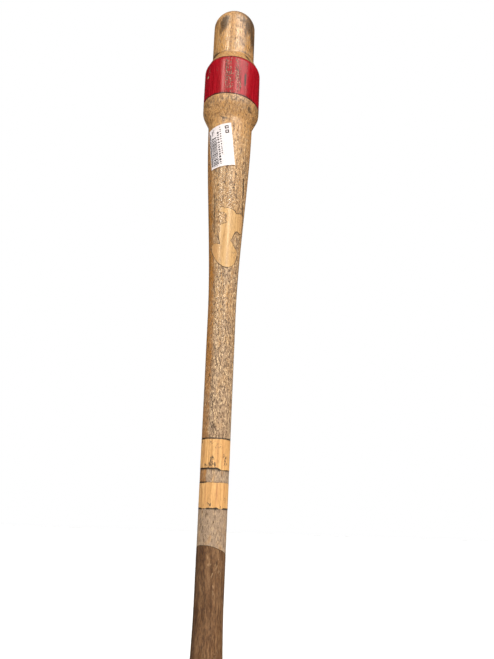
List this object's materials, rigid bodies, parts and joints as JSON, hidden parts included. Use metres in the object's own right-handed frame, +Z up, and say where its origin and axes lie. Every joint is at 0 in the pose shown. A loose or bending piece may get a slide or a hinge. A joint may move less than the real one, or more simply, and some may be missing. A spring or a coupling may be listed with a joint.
{
  "type": "turned wooden bat",
  "caption": "Long lathe-turned wooden bat with a domed nose, a wide banded collar, a tapering handle and a flat-bottomed knob.",
  "frame": {"origin": "centre of the knob's flat face, which the bat stands on", "axes": "+Z up the bat's axis towards the domed nose; -Y towards the side with the label"},
  "size_m": [0.0698, 0.0698, 0.8636],
  "materials": {
    "turned_wood": "worn varnish over open-pored straight grain",
    "red_paint": "crimson paint, rubbed and scuffed",
    "clear_strip": "thin amber film with dirt along its edges",
    "dark_grip": "hand-darkened coat on the wood, satin",
    "label_paper": "printed adhesive label with plain bars",
    "decal_varnish": "remains of a clear glossy film, dark at its edge"
  },
  "bodies": {
    "root": {"bat_body": "turned_wood", "red_band": "red_paint", "upper_clear_strip": "clear_strip", "lower_clear_strip": "clear_strip", "grip_coat": "dark_grip", "price_label": "label_paper", "decal_film": "decal_varnish"}
  },
  "joints": []
}
